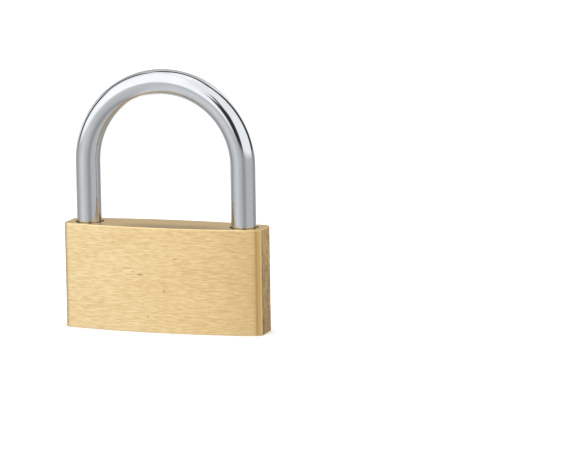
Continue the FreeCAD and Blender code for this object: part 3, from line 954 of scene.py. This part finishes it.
@dataclass
class Shackle:
    """Chrome-plated bar bent over a half circle, with a turned neck and two bolt notches."""

    box: Box = boxed("shackle")
    bolt: Box = boxed("heel_bolt")
    toe_tip: float = 21.0
    tip_break: float = 0.8
    neck_low: float = 8.65
    neck_high: float = 21.5
    neck_radius: float = 2.3
    notch_depth: float = 2.35
    notch_half: float = 2.4
    arch_steps: int = 160
    sides: int = 112

    @property
    def bar(self) -> float:
        """Radius of the bar."""
        return float(self.box.size[1] / 2)

    @property
    def leg(self) -> float:
        """Distance of each leg from the middle, which is also the radius of the arch."""
        return float(self.box.high[0] - self.bar)

    @property
    def spring_line(self) -> float:
        """Height at which the legs run into the arch."""
        return float(self.box.high[2]) - self.bar - self.leg

    def section(self) -> Array:
        """Bar's radius along its length, from the heel's end to the toe's.

        The length counts from the heel's end: up the heel, over the arch (leg distance times pi)
        and down the toe.

        Returns:
            Points as length and radius.
        """
        heel = float(self.box.low[2])
        first = self.spring_line - heel
        last = first + math.pi * self.leg + self.spring_line - self.toe_tip
        tip, bar = self.tip_break, self.bar
        neck, foot, head = self.neck_radius, self.neck_low - heel, self.neck_high - heel
        low = rounded([(0, 0.8 * (bar - tip)), (0, bar - tip), (tip, bar), (foot, bar),
                       (foot, neck), (head, neck), (head, bar), (first, bar)], 0.12, 3)
        over = np.linspace(first, first + math.pi * self.leg, self.arch_steps + 1)[1:-1]
        high = rounded([(first + math.pi * self.leg, bar), (last - tip, bar), (last, bar - tip),
                        (last, 0.8 * (bar - tip))], 0.12, 3)
        return np.vstack([low, np.column_stack([over, np.full(len(over), bar)]), high])

    def surface(self) -> Shape:
        """Circle carried up the heel, over the arch and down the toe.

        With s the length along the bar, the angle over the arch is (s - first) / leg, kept
        between 0 and pi. The centre line is (-leg cos a, 0, spring line + leg sin a), moved down
        by what is left of s before the arch and after it, and the direction across it in the
        plane of the shackle is (-cos a, 0, sin a).

        Returns:
            The bar's closed surface.
        """
        section = self.section()
        length, radius = section[:, 0], section[:, 1]
        first = self.spring_line - float(self.box.low[2])
        angle = np.clip((length - first) / self.leg, 0, math.pi)
        last = first + math.pi * self.leg
        drop = np.clip(first - length, 0, None) + np.clip(length - last, 0, None)
        out = np.column_stack([-np.cos(angle), np.zeros_like(angle), np.sin(angle)])
        centre = out * self.leg + np.column_stack([0 * drop, 0 * drop, self.spring_line - drop])
        turn = np.linspace(0, FULL_TURN, self.sides, endpoint=False)
        aside = np.array((0, 1.0, 0))
        across = np.cos(turn)[:, None] * out[:, None] + np.sin(turn)[:, None] * aside
        return Shape.stacked(centre[:, None] + radius[:, None, None] * across)

    def build(self) -> None:
        """Bar with its two notches cut."""
        bar = self.surface().as_object("shackle_bar", CHROME)
        height = float(self.bolt.middle[2])
        inner = self.leg - self.bar
        tools = []
        for name, side in (("toe", 1), ("heel", -1)):
            ends = sorted((side * (inner - 1), side * (inner + self.notch_depth)))
            notch = cuboid((ends[0], -2 * self.bar, height - self.notch_half),
                           (ends[1], 2 * self.bar, height + self.notch_half))
            tools.append(notch.as_object(f"cut_{name}_notch", BOLT_STEEL))
        placed(carved(bar, tools), "shackle", "shackle")


# The plug and its drive

@dataclass
class Core:
    """Turned plug with its keyway, the cam on its inner end and the two drive pins."""

    plug: Box = boxed("plug")
    cam: Box = boxed("cam")
    drive: Box = boxed("drive_pins")
    groove_pin: Box = boxed("plug_retaining_pin")
    fillers: Box = boxed("chamber_plugs")
    barrel: float = 5.0
    head_depth: float = 1.18
    groove_radius: float = 3.8
    groove_half: float = 0.85
    keyway_top: float = 17.4
    below: float = -1.0
    tongue_depth: float = 0.8
    tongue_width: float = 2.2
    tongue_length: float = 7.0
    edge: float = 0.12
    keyway: tuple[tuple[float, float], ...] = (
        (-0.5, -3.9), (1.1, -3.9), (1.1, -2.2), (0.45, -1.7), (0.45, -0.8), (1.1, -0.3), (1.1, 2.8),
        (-1.1, 2.8), (-1.1, 1.3), (-0.45, 0.8), (-0.45, -0.1), (-1.1, -0.6), (-1.1, -3.3),
    )

    def build_plug(self) -> None:
        """Turned barrel with head and groove, then keyway, pin chambers and slot."""
        head, top = self.plug.size[0] / 2, self.plug.high[2]
        middle = float(self.groove_pin.middle[2])
        low, high = middle - self.groove_half, middle + self.groove_half
        barrel, groove, depth = self.barrel, self.groove_radius, self.head_depth
        corners = [(0, 0.9 * head), (0, head), (depth, head), (depth, barrel), (low, barrel),
                   (low, groove), (high, groove), (high, barrel), (top, barrel),
                   (top, 0.8 * barrel)]
        blank = turned(rounded(corners, self.edge, 3), Axis.Z, (0, 0, 0), 128)
        plug = blank.as_object("plug_barrel", TURNED_BRASS)
        outline = np.array(self.keyway)
        levels = np.array([(0.0, self.below), (0.0, self.keyway_top)])
        keyway = prism(outline, np.zeros_like(outline), levels)
        tools = [keyway.as_object("cut_keyway", BORED_BRASS)]
        radius = self.fillers.size[1] / 2
        profile = np.array([(0.0, radius), (barrel + 1, radius)])
        for number, z in enumerate(LockBody().chamber_heights(), start=1):
            rod = turned(profile, Axis.Y, (0, 0, z), 64)
            tools.append(rod.as_object(f"cut_pin_chamber_{number}", BORED_BRASS))
        half = self.tongue_width / 2
        slot = cuboid((-barrel - 1, -half, top - self.tongue_depth), (barrel + 1, half, top + 1))
        tools.append(slot.as_object("cut_slot", TURNED_BRASS))
        placed(carved(plug, tools), "core", "plug")

    def build_cam(self) -> None:
        """Disc with a tongue under it and a hole for each drive pin."""
        radius, top = self.cam.size[0] / 2, self.cam.high[2]
        foot = self.plug.high[2]
        profile = stub(foot, top, radius, 0.8, self.edge)
        disc = turned(profile, Axis.Z, (0, 0, 0), 96).as_object("cam_disc", BOLT_STEEL)
        half = self.tongue_width / 2
        tongue = cuboid((-self.tongue_length / 2, -half, foot - self.tongue_depth),
                        (self.tongue_length / 2, half, foot + self.tongue_depth / 2))
        carved(disc, [tongue.as_object("tongue", BOLT_STEEL)], "UNION")
        hole = self.drive.size[0] / 2
        tools = []
        for number, y in enumerate(self.drive_spots(), start=1):
            rod = turned(np.array([(foot - 2.0, hole), (top + 1, hole)]), Axis.Z, (0, y, 0), 48)
            tools.append(rod.as_object(f"cut_drive_hole_{number}", BOLT_STEEL))
        placed(carved(disc, tools), "core", "cam")

    def drive_spots(self) -> tuple[float, float]:
        """Place of the two drive pins along Y."""
        reach = float(self.drive.size[1] / 2 - self.drive.size[0] / 2)
        return -reach, reach

    def build_drive_pins(self) -> None:
        """Two round pins with rounded ends."""
        drive = self.drive
        profile = stub(drive.low[2], drive.high[2], drive.size[0] / 2, 0.5, self.edge)
        pins = Shape.joined(turned(profile, Axis.Z, (0, y, 0), 48) for y in self.drive_spots())
        placed(pins.as_object("drive_pin_pair", PIN_STEEL), "core", "drive_pins")

    def build(self) -> None:
        """Plug, cam and drive pins."""
        self.build_plug()
        self.build_cam()
        self.build_drive_pins()


# The bolts

@dataclass
class Bolt:
    """Round bolt with a chamfered nose and a half-round tail with its drive slot."""

    name: str
    side: int
    nose: float = 0.4
    tail_root: float = 4.6
    tail_gap: float = 0.1
    slot_inner: float = 0.9
    slot_outer: float = 1.5
    slot_roof: float = 25.9
    past: float = 4.0

    def build(self) -> None:
        """Turned bar, then the tail's flat and the slot."""
        box = Box.of(self.name)
        radius, side = box.size[2] / 2, self.side
        tip = box.high[0] if side > 0 else box.low[0]
        end = box.low[0] if side > 0 else box.high[0]
        height = float(box.middle[2])
        corners = [(end, 0.5 * radius), (end, radius), (tip - side * self.nose, radius),
                   (tip, radius - self.nose), (tip, 0.5 * radius)]
        bar = turned(rounded(corners, 0.1, 3), Axis.X, (0, 0, height), 96)
        bolt = bar.as_object(f"{self.name}_bar", BOLT_STEEL)
        past = self.past
        ends = sorted((side * self.tail_root, -side * past))
        flat = sorted((side * self.tail_gap, -side * past))
        walls = sorted((side * self.slot_outer, -side * self.slot_inner))
        tools = [cuboid((ends[0], flat[0], height - past), (ends[1], flat[1], height + past)),
                 cuboid((walls[0], -past, height - past), (walls[1], past, self.slot_roof))]
        cutters = [tool.as_object(f"cut_{self.name}_{number}", BOLT_STEEL)
                   for number, tool in enumerate(tools)]
        placed(carved(bolt, cutters), self.name, self.name)


# The pins and springs

@dataclass
class PinStack:
    """Key pin, driver pin and spring of one chamber."""

    number: int
    cone: float = 0.6
    cone_tip: float = 0.5
    edge: float = 0.2
    wire: float = 0.15
    turns: float = 9.0

    def build(self) -> None:
        """The three pieces."""
        key = Box.of(f"key_pin_{self.number}")
        radius, low, high = key.size[0] / 2, key.low[1], key.high[1]
        corners = [(low, 0.5 * self.cone_tip), (low, self.cone_tip), (low + self.cone, radius),
                   (high - self.edge, radius), (high, radius - self.edge), (high, 0.5 * radius)]
        shape = turned(rounded(corners, 0.08, 3), Axis.Y, (0, 0, key.middle[2]), 64)
        placed(shape.as_object(f"bottom_pin_{self.number}", PIN_BRASS),
               f"key_pin_{self.number}", f"key_pin_{self.number}")
        driver = Box.of(f"driver_pin_{self.number}")
        low, high = driver.low[0], driver.high[0]
        corners = [(low, 0.5 * radius), (low, radius - self.edge), (low + self.edge, radius),
                   (high - self.edge, radius), (high, radius - self.edge), (high, 0.5 * radius)]
        shape = turned(rounded(corners, 0.06, 3), Axis.X, (0, 0, driver.middle[2]), 64)
        placed(shape.as_object(f"top_pin_{self.number}", DRIVER_STEEL),
               f"driver_pin_{self.number}", f"driver_pin_{self.number}")
        spring = Coil(f"pin_spring_{self.number}", Axis.X, self.wire, self.turns, 12)
        piece = spring.build(f"chamber_coil_{self.number}")
        joint = next(j for j in frame["joints"] if j["name"] == f"driver_pin_slide_{self.number}")
        box = spring.box
        travel = (joint["range_m"][1] - joint["range_m"][0]) / METRES
        1 - travel / float(box.size[0])
        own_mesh(piece)


@dataclass
class Coil:
    """Compression spring with closed end turns."""

    node: str
    axis: Axis
    wire: float
    turns: float
    sides: int = 16
    steps: int = 40
    end_share: float = 0.6

    @property
    def box(self) -> Box:
        """Box of the CAD spring."""
        return Box.of(self.node)

    def build(self, name: str, pulled_by: str = "") -> bpy.types.Object:
        """Round wire carried along a helix.

        With n turns counted along the wire, the angle is 2 pi n. The rise is one wire's thickness
        over the first turn and over the last, and even in between. The wire's two end rings are
        narrower, as on cut wire.

        Args:
            name: the piece's name.
            pulled_by: the body that its upper end should follow, where that isn't the case; it is
                not made to follow it.

        Returns:
            The piece, on the body that holds it, or fixed in place on no body where pulled_by is
            given.
        """
        along, first, second = (np.array(part, float) for part in self.axis.value)
        box = self.box
        length = float(box.size @ along)
        radius = float(box.size @ second) / 2 - self.wire
        turn = np.linspace(0, self.turns, int(self.turns * self.steps) + 1)
        wire = self.wire
        rise = np.interp(turn, [0, 1, self.turns - 1, self.turns],
                         [wire, 3 * wire, length - 3 * wire, length - wire])
        angle = FULL_TURN * turn
        start = box.middle * (1 - along) + box.low * along
        line = start + rise[:, None] * along + radius * (
            np.cos(angle)[:, None] * first + np.sin(angle)[:, None] * second)
        radii = np.full(len(turn), self.wire)
        radii[[0, -1]] *= self.end_share
        shape = helix_skin(line, radii, start, along, self.sides)
        stretch = None
        if pulled_by:
            x, y, low = (float(value) * METRES for value in start)
            stretch = Stretch(pulled_by, (x, y, low), (x, y, low + length * METRES))
        piece = shape.as_object(name, SPRING_STEEL)
        return placed(piece, "case", self.node, stretch)


def helix_skin(line: Array, radii: Array, start: Array, along: Array, sides: int) -> Shape:
    """Circle carried along a helix.

    The direction away from the helix's axis is the point less its foot on the axis; the second
    direction is that crossed with the tangent. A ring's point at angle a is
    line + r * (cos a * out + sin a * second).

    Args:
        line: points of the helix.
        radii: the circle's radius at each of them.
        start: a point on the axis.
        along: the axis's direction.
        sides: points in each ring.

    Returns:
        The closed surface.
    """
    tangent = np.gradient(line, axis=0)
    tangent /= np.linalg.norm(tangent, axis=1, keepdims=True)
    away = line - start
    out = away - (away @ along)[:, None] * along
    out /= np.linalg.norm(out, axis=1, keepdims=True)
    second = np.cross(out, tangent)
    second /= np.linalg.norm(second, axis=1, keepdims=True)
    angle = np.linspace(0, FULL_TURN, sides, endpoint=False)
    across = np.cos(angle)[:, None] * out[:, None] + np.sin(angle)[:, None] * second[:, None]
    return Shape.stacked(line[:, None] + radii[:, None, None] * across)


# The studio

@dataclass(frozen=True)
class Panel:
    """One sheet of the light tent, white or black: where it hangs, in degrees, and its tone.

    The azimuth is 0 towards the front and grows towards +X; the feather is the width of its
    soft edge.
    """

    azimuth: float
    half_width: float
    low: float
    high: float
    feather: float
    tone: float


@dataclass
class Studio:
    """Pale floor, soft light from all round with a few darker stretches, and the camera."""

    floor_radius: float = 4000.0
    floor_drop: float = 0.03
    floor_depth: float = 6.0
    azimuth: float = 20.4
    elevation: float = 9.1
    roll: float = -0.8
    distance: float = 859.0
    aim: Triple = (35.1, 0.0, 28.4)
    pivot: Triple = (0.0, 0.0, 35.0)
    focal: float = 190.8
    sensor: float = 36.0
    strength: float = 1.1
    softbox_size: float = 3.0
    softbox_height: float = 2.0
    softbox_watts: float = 34.0
    ground: float = 0.7
    sky: float = 1.3
    roof: float = 1.5
    level_feather: float = 12.0
    tent: tuple[Panel, ...] = (
        Panel(180, 25, -90, 25, 30, 1.5),
        Panel(-40, 20, -90, 0, 40, 0.95),
        Panel(-100, 15, -90, 0, 30, 0.5),
        Panel(25, 15, -90, 0, 30, 0.45),
        Panel(130, 20, -90, 0, 30, 0.45),
        Panel(-40, 40, 5, 70, 25, 1.55),
        Panel(-150, 35, 5, 50, 20, 0.65),
        Panel(-95, 10, 0, 30, 10, 0.05),
        Panel(-110, 10, 25, 60, 10, 0.1),
        Panel(20, 15, 0, 30, 8, 0.05),
        Panel(25, 5, 25, 45, 8, 0.05),
        Panel(130, 15, 0, 60, 12, 0.05),
        Panel(180, 60, 55, 70, 8, 0.05),
    )

    def build_floor(self) -> None:
        """Large round sheet just under the body, with a faint paper texture."""
        angle = np.linspace(0, FULL_TURN, 96, endpoint=False)
        ring = np.column_stack([np.cos(angle), np.sin(angle)])
        levels = np.array([(0.0, -self.floor_depth), (0.0, -self.floor_drop)])
        shape = prism(ring * self.floor_radius, ring, levels)
        floor = shape.as_object("floor", Paper("pale_floor"))
        floor.visible_glossy = False

    def build_light(self) -> None:
        """Light tent: a world whose brightness depends on the direction, and a soft overhead light.

        The azimuth is measured round from the front, and the elevation is the arc sine of the
        direction's Z. The tent is darker below the horizon and brightest overhead; each panel
        lies over the ones before it, within its width and between its two elevations.
        """
        world = bpy.data.worlds.new("tent")
        bpy.context.scene.world = world
        graph = Graph(world)
        x, y, z = graph.split(graph.node("ShaderNodeTexCoord", output="Generated"))
        turn = graph.maths("ARCTAN2", x, 0.0 - y) * IN_DEGREES
        rise = graph.maths("ARCSINE", z) * IN_DEGREES
        tone = rise.rising(-3.0, 5.0) * (self.sky - self.ground) + self.ground
        tone = tone + rise.rising(70.0, 85.0) * (self.roof - self.sky)
        for panel in self.tent:
            away = abs(graph.maths("WRAP", turn - panel.azimuth, 180.0, -180.0))
            edge = panel.feather / 2
            over = away.rising(panel.half_width + edge, panel.half_width - edge)
            over = over * rise.within(panel.low, panel.high, min(panel.feather, self.level_feather))
            tone = tone + (panel.tone - tone) * over
        surface = graph.node("ShaderNodeBackground",
                             inputs={"Color": tone, "Strength": self.strength})
        graph.node("ShaderNodeOutputWorld", inputs={"Surface": surface})
        data = bpy.data.lights.new("overhead_softbox", "AREA")
        data.shape = "DISK"
        data.size = self.softbox_size
        data.energy = self.softbox_watts
        lamp = bpy.data.objects.new("overhead_softbox", data)
        lamp.location = (0.0, 0.0, self.softbox_height)
        lamp.visible_glossy = False
        bpy.context.scene.collection.objects.link(lamp)

    def build_camera(self) -> None:
        """Camera from the front right, a little above, turned a little about its own axis."""
        turn, rise, roll = map(math.radians, (self.azimuth, self.elevation, self.roll))
        level = math.cos(rise)
        back = Vector((math.sin(turn) * level, -math.cos(turn) * level, math.sin(rise)))
        place = Vector(self.pivot) + back * self.distance
        look = (Vector(self.aim) - place).normalized()
        right = look.cross(Vector((0, 0, 1))).normalized()
        down = look.cross(right)
        across = math.cos(roll) * right - math.sin(roll) * down
        lower = math.sin(roll) * right + math.cos(roll) * down
        data = bpy.data.cameras.new("camera")
        data.lens = self.focal
        data.sensor_width = self.sensor
        data.clip_start, data.clip_end = 0.05, 20.0
        made = bpy.data.objects.new("camera", data)
        bpy.context.scene.collection.objects.link(made)
        columns = Matrix((across, -lower, -look)).transposed().to_4x4()
        made.matrix_world = Matrix.Translation(place * METRES) @ columns
        bpy.context.scene.camera = made

    def build(self) -> None:
        """Floor, light and camera, and colours shown as they are."""
        self.build_floor()
        self.build_light()
        self.build_camera()
        bpy.context.scene.view_settings.view_transform = "Standard"


def main() -> None:
    """Build each sub-assembly in order, then the studio."""
    logging.basicConfig(level=logging.INFO, format="%(name)s: %(message)s", stream=sys.stdout)
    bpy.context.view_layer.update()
    LockBody().build()
    Shackle().build()
    Core().build()
    Bolt("heel_bolt", -1).build()
    Bolt("toe_bolt", 1).build()
    for number in range(1, LockBody().chambers + 1):
        PinStack(number).build()
    Coil("shackle_spring", Axis.Z, 0.3, 5.0).build("lift_spring", pulled_by="shackle")
    Studio().build()


if __name__ == "__main__":
    main()
